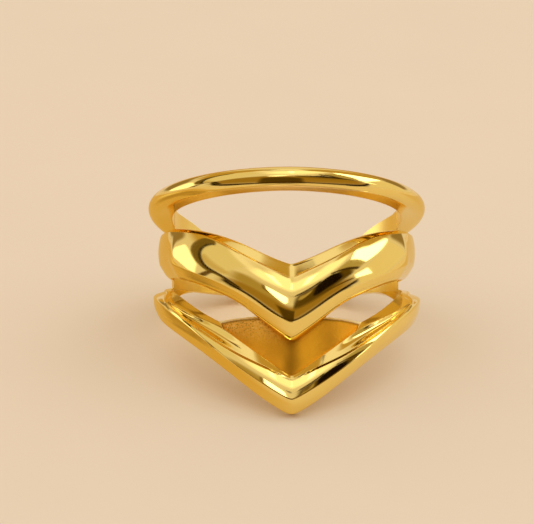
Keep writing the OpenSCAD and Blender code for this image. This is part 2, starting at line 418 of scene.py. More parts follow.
def middle_section(azimuth, sizes):
    """Level top, upper bevel, dome, and a rim that turns under."""
    a = soft(azimuth, MIDDLE_POINT)
    edge = soft(azimuth, MIDDLE_EDGE_POINT)
    z_top = smooth(MIDDLE_ROWS, M_TOP, a)
    z_bevel = smooth(MIDDLE_ROWS, M_BEVEL, a)
    z_rim = smooth(MIDDLE_ROWS, M_RIM, edge)
    z_low = smooth(MIDDLE_ROWS, M_LOW, edge)
    thick = sizes.middle_band_t * shoulder(azimuth)
    arm = ease(abs(azimuth), *ARM_START)
    lean = arm * (1 - ease(abs(azimuth), *ARM_END))
    bulge = blend(BULGE, arm) * thick / BULGE_THICKNESS
    dome = []
    for k in range(DOME_ROWS + 1):
        f = k / DOME_ROWS
        out = thick * (blend(DOME_START, lean) + blend(DOME_RISE, lean) * f)
        dome.append((out + bulge * 4 * f * (1 - f), z_bevel + (z_rim - z_bevel) * f))
    drop = z_rim - z_low
    inner = (0, z_top + MIDDLE_RISE)
    upper = (thick * BEVEL_OUT, z_top)
    step = (dome[0][0] - BEVEL_STEP[0], z_bevel + BEVEL_STEP[1])
    turn = (dome[-1][0] - RIM_TURN[0] * drop, z_rim - RIM_TURN[1] * drop)
    lower = (turn[0] - RIM_LOW * drop, z_low)
    under = (0, z_low + MIDDLE_UNDER)
    head = [inner] + straight(inner, upper, steps=3)
    head += rounded(inner, upper, dome[0], UPPER_CUT, steps=5)
    head += straight(head[-1], step, steps=5) + [step]
    head += rounded(step, dome[0], dome[1], CREASE_CUT, steps=3)
    tail = rounded(dome[-2], dome[-1], turn, RIM_CUT, steps=4)
    tail += straight(tail[-1], turn, steps=3)
    tail += rounded(dome[-1], turn, lower, TURN_CUT, steps=5)
    tail += rounded(turn, lower, under, LOW_CUT, steps=5)
    tail += straight(tail[-1], under, steps=3) + [under]
    return head + dome[1:-1] + tail


def lower_section(azimuth, sizes):
    """Level top, crescent facet, upright face, ridge and lower bevel."""
    around_front = abs(azimuth)
    a = soft(azimuth, LOWER_POINT)
    edge = soft(azimuth, LOWER_EDGE_POINT)
    z_top = smooth(LOWER_ROWS, L_TOP, a)
    z_facet = smooth(LOWER_ROWS, L_FACET, a)
    z_ridge = smooth(LOWER_ROWS, L_RIDGE, a)
    z_low = smooth(LOWER_ROWS, L_LOW, edge)
    thick = sizes.lower_band_t * smooth(LOWER_ROWS, L_OUT, around_front)
    facet = smooth(LOWER_ROWS, L_FACET_OUT, around_front)
    side = min(1.0, around_front / ROUNDEST) ** 2
    front = 1 - ease(around_front, *FACETS_END)
    full = ease(around_front, *BEVEL_FILLS)
    fall = LEVEL_FALL * cos(radians(azimuth))
    upright = thick * UPRIGHT_OUT - UPRIGHT_LEAN * (z_facet - z_ridge)
    crease = facet + (upright - facet) * front
    brim = max(LEAST_BRIM, crease - BRIM_LEAN * (z_top - z_facet)) * front
    z_brim = z_top - fall * brim
    z_crease = min(z_facet - fall * (crease - facet), z_brim - LEAST_CRESCENT)
    span = min(CREASE_HALF, (z_crease - z_ridge) * CREASE_SHARE)
    groove = front * (1 - ease(around_front, *GROOVE_END)) * ease(around_front, *GROOVE_START)
    scoop = SCOOP_DEPTH * ease(around_front, *SCOOP_START) * (1 - ease(around_front, *SCOOP_END))
    hollow = ((brim + crease) / 2 - scoop, (z_brim + z_crease + span) / 2 - SCOOP_DROP * scoop)
    corners = [
        (0, z_top + LOWER_RISE * front),
        (brim, z_brim),
        hollow,
        (crease, z_crease + span),
        (crease - GROOVE_DEPTH * groove, z_crease),
        (crease + PROUD, z_crease - span),
        (thick * BEND_OUT, z_ridge + (z_crease - z_ridge) * BEND_UP),
        (thick + PROUD, z_ridge),
        (thick * blend(BEVEL_MIDDLE, full), (z_ridge + z_low) / 2),
        (thick * blend(BEVEL_LOW, full), z_low),
        (0, z_low + LOWER_UNDER),
    ]
    return path(corners, [blend(cut, side) for cut in LOWER_CUTS])


def web_section(azimuth, sizes):
    """Thin plate with a ragged upper edge and a valley in front."""
    a = abs(azimuth)
    behind = smooth(LOWER_ROWS, L_TOP, a) - WEB_BEHIND
    z_low = min(behind, WEB_TOP - WEB_LEAST_HEIGHT)
    valley = blend(VALLEY_DEPTH, ease(hypot(a, VALLEY_POINT), *VALLEY_WIDTH))
    thick = max(WEB_LEAST_THICKNESS, sizes.web_t * valley * (1 - (a / WEB_END) ** 3))
    top = WEB_TOP + RAGGED * noise.noise(Vector((azimuth * RAGGED_RATE, 0.0, 0.0)))
    near, far = CREST_BENDS
    crest = [(WEB_INSET, top), (thick * near, top), (thick * far, top - CREST_DROP)]
    face = [(thick, z) for _, z in straight((0, top - CREST), (0, z_low), WEB_ROWS)]
    return crest + [(thick, top - CREST)] + face + [(thick, z_low), (WEB_INSET, z_low)]


def shank_section(azimuth, sizes):
    """Flat strip with rounded edges. Its azimuth is counted from the back."""
    a = 180 - abs(azimuth)
    z_top = smooth(SHANK_ROWS, S_TOP, a)
    z_low = smooth(SHANK_ROWS, S_LOW, a)
    thick = sizes.shank_t * smooth(SHANK_ROWS, S_OUT, a)
    corners = [(0, z_top), (thick, z_top - SHANK_IN), (thick, z_low + SHANK_IN), (0, z_low)]
    points = []
    for out, z in path(corners, [thick * SHANK_CUT] * 2, steps=10, between=8):
        if out > thick * CROWN_FROM:
            across = (z - z_low) / (z_top - z_low) * 2 - 1
            out += thick * SHANK_CROWN * (1 - across**2)
        points.append((out, z))
    return points


def stations(end, steps, crowding=1.0):
    """Azimuths from -end to end, closer together near the middle where crowding is above 1."""
    return [
        copysign(end * (abs(k) / steps) ** crowding, k) for k in range(-steps, steps + 1)
    ]


def deselect_all():
    """Leaves object mode with nothing selected."""
    if bpy.context.object and bpy.context.object.mode != "OBJECT":
        bpy.ops.object.mode_set(mode="OBJECT")
    bpy.ops.object.select_all(action="DESELECT")


def marks(piece):
    """A piece's mesh in edit mode, with the layers of its points' stations and rows."""
    bm = bmesh.from_edit_mesh(piece.data)
    return bm, bm.verts.layers.int["station"], bm.verts.layers.int["row"]


def choose(piece, test):
    """Selects the edges that pass a test of the edge and its ends' stations and rows."""
    bpy.ops.mesh.select_all(action="DESELECT")
    bm, station, row = marks(piece)
    for edge in bm.edges:
        if test(edge, [v[station] for v in edge.verts], [v[row] for v in edge.verts]):
            edge.select = True
    bmesh.update_edit_mesh(piece.data)


def sweep(name, section, azimuths, turn=0.0, sink=True):
    """Extrudes a loop round the finger, one point of the section after another, and closes it."""
    sizes = bpy.context.scene.ring_sizes
    wall = sizes.finger_d / 2
    sections = [section(azimuth, sizes) for azimuth in azimuths]
    end, last = len(azimuths) - 1, len(sections[0]) - 1

    def point(i, j):
        """Where one point of one section lies in the resting ring."""
        out, height = sections[i][j]
        b = radians(azimuths[i] + turn)
        if sink and j in (0, last):
            out += SINK_DEPTH * ease(abs(azimuths[i]), *SINK)
        r = wall + out
        return TO_REST @ (Vector((r * sin(b), -r * cos(b), height)) * MM)

    deselect_all()
    bpy.ops.mesh.primitive_circle_add(vertices=len(azimuths), radius=wall * MM)
    piece = bpy.context.object
    piece.name = piece.data.name = name
    bpy.ops.object.mode_set(mode="EDIT")
    bm = bmesh.from_edit_mesh(piece.data)
    for mark in ("station", "row"):
        bm.verts.layers.int.new(mark)
    bm, station, row = marks(piece)
    for i, vert in enumerate(bm.verts):
        vert[station] = i
        vert.co = point(i, 0)
    bmesh.update_edit_mesh(piece.data)
    choose(piece, lambda edge, at, rows: sorted(at) == [0, end])
    bpy.ops.mesh.delete(type="EDGE")
    bpy.ops.mesh.select_mode(type="EDGE")
    bpy.ops.mesh.select_all(action="SELECT")
    for j in range(1, last + 1):
        bpy.ops.mesh.extrude_edges_move()
        bm, station, row = marks(piece)
        for vert in bm.verts:
            if vert.select:
                vert[row] = j
                vert.co = point(vert[station], j)
        bmesh.update_edit_mesh(piece.data)
    choose(piece, lambda edge, at, rows: rows in ([0, 0], [last, last]))
    bpy.ops.mesh.bridge_edge_loops()
    for side in (0, end):
        choose(piece, lambda edge, at, rows: at == [side, side] and edge.is_boundary)
        bpy.ops.mesh.edge_face_add()
        bpy.ops.mesh.quads_convert_to_tris()
    bpy.ops.mesh.select_all(action="SELECT")
    bpy.ops.mesh.normals_make_consistent(inside=False)
    bpy.ops.object.mode_set(mode="OBJECT")
    bpy.ops.object.shade_smooth_by_angle(angle=radians(SMOOTH_BELOW))
    return piece


class Socket:
    """A shader socket whose sums and products add Math nodes."""

    def __init__(self, tree, socket):
        self.tree = tree
        self.socket = socket

    def maths(self, operation, other, swap=False):
        """One Math node on this socket and a number or another socket."""
        values = (other, self) if swap else (self, other)
        return self.tree.add("ShaderNodeMath", {"operation": operation}, values)

    def __abs__(self):
        return self.maths("ABSOLUTE", 0)

    def __add__(self, other):
        return self.maths("ADD", other)

    __radd__ = __add__

    def __mul__(self, other):
        return self.maths("MULTIPLY", other)

    __rmul__ = __mul__

    def __sub__(self, other):
        return self.maths("SUBTRACT", other)

    def __rsub__(self, other):
        return self.maths("SUBTRACT", other, swap=True)


class Finish:
    """A material under construction."""

    def __init__(self, name):
        self.material = bpy.data.materials.new(name)
        self.material.use_nodes = True
        self.nodes = self.material.node_tree.nodes
        self.links = self.material.node_tree.links
        self.shader = self.nodes["Principled BSDF"]

    def add(self, kind, settings, values=(), output=0):
        """Adds a node: its settings first, then the values or links of its sockets."""
        node = self.nodes.new(kind)
        for key, value in settings.items():
            setattr(node, key, value)
        named = values.items() if isinstance(values, dict) else enumerate(values)
        for key, value in named:
            self.feed(node.inputs[key], value)
        return Socket(self, node.outputs[output])

    def feed(self, target, value):
        """Links a socket or sets a number or colour."""
        if isinstance(value, Socket):
            self.links.new(value.socket, target)
        else:
            target.default_value = value

    def set(self, **values):
        """Sets or links sockets of the shader, with spaces written as underscores."""
        for key, value in values.items():
            self.feed(self.shader.inputs[key.replace("_", " ")], value)

    def place(self):
        """Object coordinates."""
        return self.add("ShaderNodeTexCoord", {}, output="Object")

    def vectors(self, operation, *values, output="Vector"):
        """One Vector Math node."""
        return self.add("ShaderNodeVectorMath", {"operation": operation}, values, output)

    def from_axis(self, place):
        """Distance from the finger's axis, in metres."""
        out = self.vectors("SUBTRACT", place, UPRIGHT_ORIGIN)
        across = self.vectors("CROSS_PRODUCT", out, FINGER_AXIS)
        return self.vectors("LENGTH", across, output="Value")

    def up_axis(self, place):
        """Height along the finger above the middle of the top band, in metres."""
        out = self.vectors("SUBTRACT", place, UPRIGHT_ORIGIN)
        return self.vectors("DOT_PRODUCT", out, FINGER_AXIS, output="Value")

    def clouds(self, place, scale, detail=2.0):
        """Noise from 0 to 1."""
        return self.add(
            "ShaderNodeTexNoise", {}, {"Vector": place, "Scale": scale, "Detail": detail}
        )

    def rise(self, value, start, end, course="SMOOTHSTEP"):
        """Goes from 0 at one value to 1 at another."""
        return self.add(
            "ShaderNodeMapRange",
            {"interpolation_type": course},
            {"Value": value, "From Min": start, "From Max": end},
        )

    def mix(self, factor, a, b):
        """Mixes two colours, through the node's sockets for colours."""
        sockets = {0: factor, 6: a, 7: b}
        return self.add("ShaderNodeMix", {"data_type": "RGBA"}, sockets, output=2)


# Polished metal: tint of its clouds, noise scales of clouds and grain, how each blurs the
# polish, and the satin of the finger hole's wall
POLISH_TINT = (0.97, 0.93, 0.84)
POLISH_CLOUDS, POLISH_GRAIN = 420.0, 5200.0
CLOUD_BLUR, GRAIN_BLUR = 0.05, 0.03
SATIN_BLUR, SATIN_DEPTH = 0.22, 0.1 * MM

# Rough metal: tints of its colours, where the deep and light tones paint the shade of light that
# bounces between the bands, and the lit and dark ones are painted light and painted shade, then its
# brightest colour, a painted highlight, and noise scales of clouds, grain, pits
CAST_DEEP, CAST_LIGHT, CAST_PAINTED_LIGHT = (0.74, 0.45, 0.08), (0.96, 0.6, 0.14), (1.0, 0.66, 0.1)
CAST_PAINTED_SHADE, CAST_SANDY, CAST_BROWN = (0.26, 0.14, 0.02), (1.0, 0.82, 0.7), (0.42, 0.26, 0.05)
CAST_PAINTED_HIGHLIGHT = (1.0, 0.88, 0.52, 1.0)
CAST_CLOUDS, CAST_GRAIN, CAST_PITS = 900.0, 6000.0, 6500.0

# Rough metal: where its zones start and are full, across the ring, then up from the web's upper
# edge, then in the value of a noise, and how far noise moves the borders. The valley's and the
# under-rim zones hold painted shade, the rim's zone a painted highlight, the inner zone painted
# light
VALLEY_SHADE_ZONE, LEFT_ZONE, PAINTED_LIGHT_ZONE = (1.2, 0.1), (2.2, -1.2), (3.6, 1.6)
RIM_HIGHLIGHT_ZONE, UNDER_RIM_SHADE_ZONE, NEAR_RIM_ZONE = (-0.2, -0.06), (-0.36, -0.2), (-2.4, -0.1)
SPECK_ZONE, FLECK_ZONE = (0.42, 0.2), (0.52, 0.64)
VALLEY_SHADE_STRAY, LEFT_STRAY, RIM_STRAY = 0.4 * MM, 1.2 * MM, 0.12 * MM

# Rough metal: how far layers of colour, among them painted light and painted shade, cover those
# below, the grain's and the pits' share in the relief, its strength and depth, and the roughness
PAINTED_LIGHT_COVER, PAINTED_SHADE_COVER = 0.35, 0.7
SANDY_COVER, BROWN_COVER = (0.35, 0.85), (0.15, 0.8)
GRAIN_RELIEF, PITS_RELIEF = 0.6, 0.5
RELIEF_STRENGTH, RELIEF_DEPTH = 0.45, 0.04 * MM
CAST_ROUGHNESS, CAST_CLOUD_BLUR, CAST_LEFT_BLUR = 0.46, 0.12, 0.03

# Matt floor: tint and noise scale of its mottle
MOTTLE_TINT, MOTTLE_SCALE = (0.97, 0.97, 0.97), 90.0

# Just past the edge of a card that runs from -1 to 1
PAST_EDGE = 1.001


def tinted(colour, tint=(1.0, 1.0, 1.0)):
    """A colour with its channels scaled, and full cover."""
    return tuple(channel * share for channel, share in zip(colour, tint)) + (1.0,)


def polished_gold():
    """Mirror-polished metal with faint cloudy wear."""
    name = "polished gold"
    if name in bpy.data.materials:
        return bpy.data.materials[name]
    look = bpy.context.scene.ring_look
    gold = Finish(name)
    place = gold.place()
    cloud = gold.clouds(place, POLISH_CLOUDS, 3.0)
    fine = gold.clouds(place, POLISH_GRAIN)
    wall = bpy.context.scene.ring_sizes.finger_d / 2 * MM
    satin = gold.rise(gold.from_axis(place), wall + SATIN_DEPTH, wall, "LINEAR")
    least = look.roughness - (CLOUD_BLUR + GRAIN_BLUR) / 2
    gold.set(
        Base_Color=gold.mix(cloud, tinted(look.gold, POLISH_TINT), tinted(look.gold)),
        Metallic=1.0,
        Roughness=cloud * CLOUD_BLUR + (fine * GRAIN_BLUR + least) + satin * SATIN_BLUR,
    )
    return gold.material


def rough_gold():
    """The web's pitted skin as it came from the mould, in deep tones that paint the shade of light
    bouncing between the bands, with painted shade in its valley and under its rim, painted light on
    its right and a painted highlight along its rim.
    """
    look = bpy.context.scene.ring_look
    cast = Finish("rough cast gold with painted light and shade")
    place = cast.place()
    aside = cast.add("ShaderNodeSeparateXYZ", {}, [place])
    height = cast.up_axis(place)
    grain = cast.clouds(place, CAST_GRAIN, 4.0)
    pits = cast.add("ShaderNodeTexVoronoi", {}, {"Vector": place, "Scale": CAST_PITS})
    cloud = cast.clouds(place, CAST_CLOUDS, 3.0)

    def zone(value, ends, origin=0.0):
        """Soft step between two places, in millimetres from an origin."""
        return cast.rise(value, (origin + ends[0]) * MM, (origin + ends[1]) * MM)

    def shade(tint):
        """The metal's colour with a tint."""
        return tinted(look.gold, tint)

    valley = zone(abs(aside) + cloud * VALLEY_SHADE_STRAY, VALLEY_SHADE_ZONE)
    left = zone(aside + cloud * LEFT_STRAY, LEFT_ZONE)
    inner = zone(abs(aside), PAINTED_LIGHT_ZONE)
    ragged = height + grain * RIM_STRAY
    rim = zone(ragged, RIM_HIGHLIGHT_ZONE, WEB_TOP)
    under_rim_shade = zone(ragged, UNDER_RIM_SHADE_ZONE, WEB_TOP)
    near_rim = zone(height, NEAR_RIM_ZONE, WEB_TOP)
    speck = cast.rise(pits, *SPECK_ZONE)
    fleck = cast.rise(grain, *FLECK_ZONE)
    # Deep orange tones paint the shade of light bouncing between the bands; clouds vary them at
    # random
    colour = cast.mix(cloud, shade(CAST_DEEP), shade(CAST_LIGHT))
    # Painted light brightens the right of the middle of the web
    colour = cast.mix((1 - left) * inner * PAINTED_LIGHT_COVER, colour, shade(CAST_PAINTED_LIGHT))
    # Painted shade darkens the valley in the middle of the web
    colour = cast.mix(valley * PAINTED_SHADE_COVER, colour, shade(CAST_PAINTED_SHADE))
    colour = cast.mix(blend(SANDY_COVER, fleck) * near_rim * left, colour, shade(CAST_SANDY))
    colour = cast.mix(speck * near_rim * blend(BROWN_COVER, left), colour, shade(CAST_BROWN))
    # Painted shade: a dark line just under the rim
    colour = cast.mix(under_rim_shade * PAINTED_SHADE_COVER, colour, shade(CAST_PAINTED_SHADE))
    # Painted highlight along the rim, where the edge catches the light
    colour = cast.mix(rim, colour, CAST_PAINTED_HIGHLIGHT)
    relief = {
        "Strength": RELIEF_STRENGTH,
        "Distance": RELIEF_DEPTH,
        "Height": grain * GRAIN_RELIEF + pits * PITS_RELIEF,
    }
    cast.set(
        Base_Color=colour,
        Metallic=1.0,
        Roughness=CAST_ROUGHNESS + cloud * CAST_CLOUD_BLUR + left * CAST_LEFT_BLUR,
        Normal=cast.add("ShaderNodeBump", {}, relief),
    )
    return cast.material


def plain(name, colour, roughness=0.9):
    """A matt material for the stage, with a faint mottle."""
    matt = Finish(name)
    mottle = matt.clouds(matt.place(), MOTTLE_SCALE)
    mottled = matt.mix(mottle, tinted(colour, MOTTLE_TINT), tinted(colour))
    matt.set(Base_Color=mottled, Roughness=roughness)
    return matt.material


def glowing(name, colour, strength, fades, cover=1.0):
    """A glowing card whose ends and long edges fade out."""
    card = Finish(name)
    surface = card.add("ShaderNodeTexCoord", {}, output="UV")
    near = []
    for axis, fade in zip("XY", fades):
        side = card.add("ShaderNodeSeparateXYZ", {}, [surface], axis)
        near.append(card.rise(abs(side * 2 - 1), PAST_EDGE, 1.0 - fade))
    card.set(
        Base_Color=(0, 0, 0, 1),
        Specular_IOR_Level=0.0,
        Emission_Color=tinted(colour),
        Emission_Strength=strength,
        Alpha=near[0] * near[1] * cover,
    )
    return card.material


def finished(piece, material):
    """Gives a piece its finish and body."""
    piece.data.materials.clear()
    piece.data.materials.append(material)
    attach(piece, "root")
    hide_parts("ring")


class RingSizes(bpy.types.PropertyGroup):
    """Driving sizes of the ring, in millimetres."""

    finger_d: bpy.props.FloatProperty(
        name="Inside diameter", description="Diameter of the finger hole", default=17.3
    )
    top_band_h: bpy.props.FloatProperty(
        name="Top band height", description="Height of the top band", default=1.55
    )
    top_band_t: bpy.props.FloatProperty(
        name="Top band thickness", description="From the finger outwards", default=1.8
    )
    middle_band_t: bpy.props.FloatProperty(
        name="Middle band thickness", description="From the finger outwards", default=1.75
    )
    lower_band_t: bpy.props.FloatProperty(
        name="Lower band thickness", description="At the ridge, in front", default=1.65
    )
    web_t: bpy.props.FloatProperty(
        name="Web thickness", description="Greatest thickness of the web", default=0.6
    )
    shank_t: bpy.props.FloatProperty(
        name="Shank thickness", description="At the back", default=1.35
    )


class RingLook(bpy.types.PropertyGroup):
    """Colours of the ring and its stage."""

    gold: bpy.props.FloatVectorProperty(
        name="Gold",
        description="Colour of the metal",
        subtype="COLOR",
        default=(0.97, 0.77, 0.25),
    )
    roughness: bpy.props.FloatProperty(
        name="Roughness", description="Blur of the polish", default=0.07, min=0.0, max=1.0
    )
    floor: bpy.props.FloatVectorProperty(
        name="Floor",
        description="Colour of the surface",
        subtype="COLOR",
        default=(0.79, 0.685, 0.54),
    )


class RING_OT_top_band(bpy.types.Operator):
    """Model the level top band"""

    bl_idname = "ring.top_band"
    bl_label = "Top band"

    def execute(self, context):
        finished(sweep("top_band", top_section, stations(*TOP_PLAN)), polished_gold())
        return {"FINISHED"}


class RING_OT_middle_band(bpy.types.Operator):
    """Model the domed middle band"""

    bl_idname = "ring.middle_band"
    bl_label = "Middle band"

    def execute(self, context):
        finished(sweep("middle_band", middle_section, stations(*V_PLAN)), polished_gold())
        return {"FINISHED"}


class RING_OT_lower_band(bpy.types.Operator):
    """Model the ridged lower band"""

    bl_idname = "ring.lower_band"
    bl_label = "Lower band"

    def execute(self, context):
        finished(sweep("lower_band", lower_section, stations(*V_PLAN)), polished_gold())
        return {"FINISHED"}


class RING_OT_shank(bpy.types.Operator):
    """Model the shank at the back"""

    bl_idname = "ring.shank"
    bl_label = "Shank"

    def execute(self, context):
        piece = sweep("shank", shank_section, stations(*SHANK_PLAN), turn=180.0, sink=False)
        finished(piece, polished_gold())
        return {"FINISHED"}


class RING_OT_web(bpy.types.Operator):
    """Model the rough web in the lower V"""

    bl_idname = "ring.web"
    bl_label = "Web"

    def execute(self, context):
        finished(sweep("web", web_section, stations(*WEB_PLAN), sink=False), rough_gold())
        return {"FINISHED"}


# Point that a lamp faces unless another is named, in metres
RING_MIDDLE = (0.0, 0.0, 0.007)


def around(azimuth, elevation, distance):
    """A place round the ring: azimuth 0 is in front, 90 on the right."""
    a, e = radians(azimuth), radians(elevation)
    return Vector((sin(a) * cos(e), -cos(a) * cos(e), sin(e))) * distance


def softbox(name, size, power, place, target=RING_MIDDLE, colour=(1, 1, 1)):
    """A rectangular area lamp."""
    deselect_all()
    bpy.ops.object.light_add(type="AREA")
    lamp = bpy.context.object
    lamp.name = name
    lamp.data.shape = "RECTANGLE"
    lamp.data.size, lamp.data.size_y = size
    lamp.data.energy = power
    lamp.data.color = colour
    lamp.visible_glossy = False
    lamp.location = place
    lamp.rotation_euler = (Vector(target) - Vector(place)).to_track_quat("-Z", "Y").to_euler()
    return lamp


def all_round(low):
    """Cross lines of a card that runs right round the ring and up to the zenith."""
    return tuple((azimuth, low, azimuth, 90) for azimuth in range(-180, 181, 30))


# Glowing cards that only reflections see, as seen from the ring: painted reflections of the lights
# and shade round it. Each runs through cross lines, and each cross line holds the azimuth and
# elevation of its lower and its upper end. Then follow the colour, the strength, and the share of
# the half length and half height over which it fades. Later cards stand in front.
CARDS = {
    "sky": (all_round(-1), (0.8, 0.69, 0.6), 1.0, 0.0, 0.0),
    "zenith": (all_round(60), (0.97, 0.88, 0.84), 1.0, 0.0, 0.9),
    "high glow": (((-60, 62, -60, 89), (30, 62, 30, 89), (120, 62, 120, 89)),
        (1.0, 0.94, 0.84), 1.3, 0.4, 0.6),
    "left haze": (((-70, 16, -68, 40), (-52, 14, -48, 56), (-30, 12, -26, 60), (-10, 20, -8, 58)),
        (0.42, 0.29, 0.09), 1.0, 0.5, 0.6),
    "front haze": (((-76, 1, -72, 16), (-58, 1, -50, 28), (-30, 1, -22, 36), (0, 1, 0, 38),
        (30, 1, 30, 36), (54, 1, 56, 31), (74, 1, 76, 22)), (0.34, 0.19, 0.028), 1.0, 0.3, 0.6),
    "front shade": (((-27, -4, -27, 25), (-6, -4, -6, 28), (14, -4, 14, 25)),
        (0.085, 0.045, 0.003), 1.0, 0.35, 0.3),
    "rim shade": (((-66, -1, -66, 7), (-26, 0, -26, 8), (0, 0, 0, 12), (26, 0, 26, 9),
        (68, -1, 68, 8)), (0.06, 0.03, 0.002), 1.0, 0.1, 0.8),
    "far left amber": (((-142, 22, -142, 74), (-110, 30, -112, 74)),
        (0.55, 0.33, 0.06), 1.0, 0.4, 0.4),
    "left cream": (((-112, 44, -112, 70), (-100, 28, -100, 72), (-84, 18, -80, 74),
        (-68, 16, -56, 74)), (0.78, 0.67, 0.5), 1.0, 0.25, 0.4),
    "left low cream": (((-100, 24, -96, 36), (-84, 17, -78, 34), (-68, 16, -60, 32)),
        (0.62, 0.47, 0.26), 1.0, 0.3, 0.9),
    "left window": (((-124, 2, -116, 24), (-108, -6, -106, 24), (-88, -2, -90, 15)),
        (1.0, 0.95, 0.84), 1.7, 0.25, 0.2),
    "left strip": (((-119, 56, -108, 56), (-118, 43, -106, 45), (-113, 30, -102, 36),
        (-100, 20, -95, 28), (-84, 14, -83, 21), (-70, 12, -68, 17), (-58, 2, -54, 7)),
        (0.17, 0.105, 0.018), 1.0, 0.1, 0.3),
    "left line": (((-109, 54, -106, 54), (-108, 43, -104, 44), (-104, 33, -101, 36),
        (-96, 24, -94, 28), (-84, 17, -83, 21), (-70, 14, -68, 17), (-58, 4, -54, 7)),
        (0.03, 0.014, 0.002), 1.0, 0.1, 0.6),
    "left fork": (((-90, -4, -82, -4), (-86, 6, -78, 6), (-80, 16, -74, 16)),
        (0.12, 0.06, 0.01), 1.0, 0.1, 0.5),
    "olive blob": (((-33, 40, -30, 53), (-24, 38, -24, 55)), (0.2, 0.12, 0.02), 1.0, 0.5, 0.5),
    "small window": (((-27, 46, -26, 53), (-20, 38, -16, 54), (-11, 34, -8, 53), (-3, 43, 0, 51)),
        (1.0, 1.0, 1.0), 2.8, 0.25, 0.25),
    "right olive": (((58, 30, 58, 64), (74, 28, 74, 64), (90, 30, 90, 62)),
        (0.46, 0.35, 0.16), 1.0, 0.5, 0.4),
    "lens halo": (((4, 24, 4, 57), (22, 20, 22, 60), (44, 16, 44, 62), (60, 20, 62, 58),
        (72, 26, 74, 48)), (0.1, 0.055, 0.004), 1.0, 0.25, 0.5),
    "small gleam": (((10, 43, 11, 51), (18, 39, 19, 50), (26, 45, 27, 52)),
        (0.45, 0.32, 0.12), 1.0, 0.4, 0.6),
    "dark bar": (((3, 52, 4, 57), (18, 53, 18, 58), (36, 56, 36, 62)),
        (0.04, 0.02, 0.005), 1.0, 0.2, 0.5),
    "lens": (((28, 38, 28, 53), (34, 29, 34, 59), (44, 29, 46, 61), (54, 29, 55, 58),
        (63, 35, 62, 47)), (0.008, 0.003, 0.0), 1.0, 0.3, 0.3),
    "lens rim": (((50, 59, 51, 64), (60, 53, 63, 57), (68, 42, 72, 45), (74, 28, 79, 30)),
        (0.05, 0.025, 0.005), 1.0, 0.2, 0.5),
    "lens foot": (((32, 28, 33, 32), (48, 21, 50, 25), (68, 14, 70, 18)),
        (0.1, 0.05, 0.005), 1.0, 0.2, 0.7),
    "right cream": (((70, 2, 70, 24), (90, 2, 90, 28), (122, 2, 120, 30)),
        (0.84, 0.7, 0.5), 1.0, 0.1, 0.1),
    "right window": (((85, 32, 84, 58), (102, 29, 102, 62), (122, 27, 122, 62)),
        (1.0, 1.0, 1.0), 3.0, 0.12, 0.15),
    "small patch": (((69, 14, 69, 23), (82, 11, 82, 24)), (1.0, 1.0, 1.0), 2.6, 0.3, 0.3),
    "crease gleam": (((0, 70, 14, 70), (-1, 72, 16, 72), (-4, 76, 20, 76), (-8, 80, 28, 80),
        (-14, 83, 44, 83)), (1.0, 1.0, 0.95), 2.2, 0.15, 0.4),
    "left rim dark": (((-70, 10, -66, 14), (-60, 1, -58, 6), (-44, -1, -42, 4), (-22, 0, -22, 3)),
        (0.015, 0.006, 0.0), 1.0, 0.3, 0.6),
    "right rim dark": (((44, 1, 44, 6), (58, 0, 58, 7), (70, 6, 72, 14)),
        (0.015, 0.006, 0.0), 1.0, 0.3, 0.6),
    "back amber": (((104, 46, 100, 80), (126, 24, 124, 80), (160, 22, 162, 77)),
        (0.52, 0.32, 0.075), 1.0, 0.35, 0.25),
    "back left amber": (((200, 24, 200, 76), (216, 28, 218, 78), (232, 44, 238, 79)),
        (0.52, 0.32, 0.075), 1.0, 0.35, 0.25),
    "back streak": (((196, 72, 196, 75), (226, 70, 226, 75)), (0.08, 0.035, 0.0), 1.0, 0.3, 0.5),
    "back low amber": (((156, -1, 156, 30), (180, -1, 180, 24), (204, -1, 204, 30)),
        (0.6, 0.33, 0.045), 1.0, 0.25, 0.3),
    "back low streak": (((166, 11, 166, 14), (180, 10, 180, 12), (190, 7, 190, 9)),
        (0.2, 0.09, 0.005), 1.0, 0.3, 0.6),
    "back left shade": (((-162, 0, -162, 28), (-122, 0, -122, 28)),
        (0.3, 0.2, 0.08), 1.0, 0.4, 0.4),
    "back right shade": (((122, 4, 122, 28), (162, 4, 162, 28)), (0.3, 0.2, 0.08), 1.0, 0.4, 0.4),
}

# Distance of the first card and the step to each next one, in metres, and a card's divisions
FAR_CARD, CARD_STEP = 0.9, 0.015
CARD_GRID = (32, 10)

# Glowing patches just above the floor that only reflections see, painting warm shade, shadow and a
# gleam onto the floor that the ring mirrors: lowest x and y, highest x and y in metres, colour,
# share of the half size over which they fade, and their cover
PAINTED_FLOOR_REFLECTIONS = {
    "left painted warm shade": (-0.08, -0.03, 0.006, 0.075, (0.68, 0.39, 0.06), 0.35, 0.8),
    "right painted warm shade": (0.004, 0.002, 0.07, 0.075, (0.68, 0.44, 0.14), 0.4, 0.65),
    "left painted deep shade": (-0.04, -0.014, -0.016, 0.016, (0.4, 0.23, 0.04), 0.6, 0.75),
    "left shadow": (-0.0205, -0.009, -0.013, 0.003, (0.2, 0.11, 0.015), 0.8, 0.5),
    "left gleam": (-0.062, -0.004, -0.026, 0.03, (0.95, 0.74, 0.36), 0.8, 0.7),
    "front painted shade": (-0.03, -0.25, 0.012, -0.044, (0.08, 0.035, 0.0), 0.2, 0.8),
}

# Height of the first patch and the step to each next one, in metres
TINT_STEP = 0.0001

# Floor's side in metres, and the studio's light from all round
FLOOR_SIZE = 4.0
AIR_COLOUR, AIR_STRENGTH = (1.0, 0.88, 0.76, 1.0), 0.95

# Lamp high on the right: azimuth, elevation and distance, size in metres, and power
OVERHEAD_PLACE = (75, 60, 0.5)
OVERHEAD_SIZE, OVERHEAD_POWER = (0.7, 0.7), 0.26

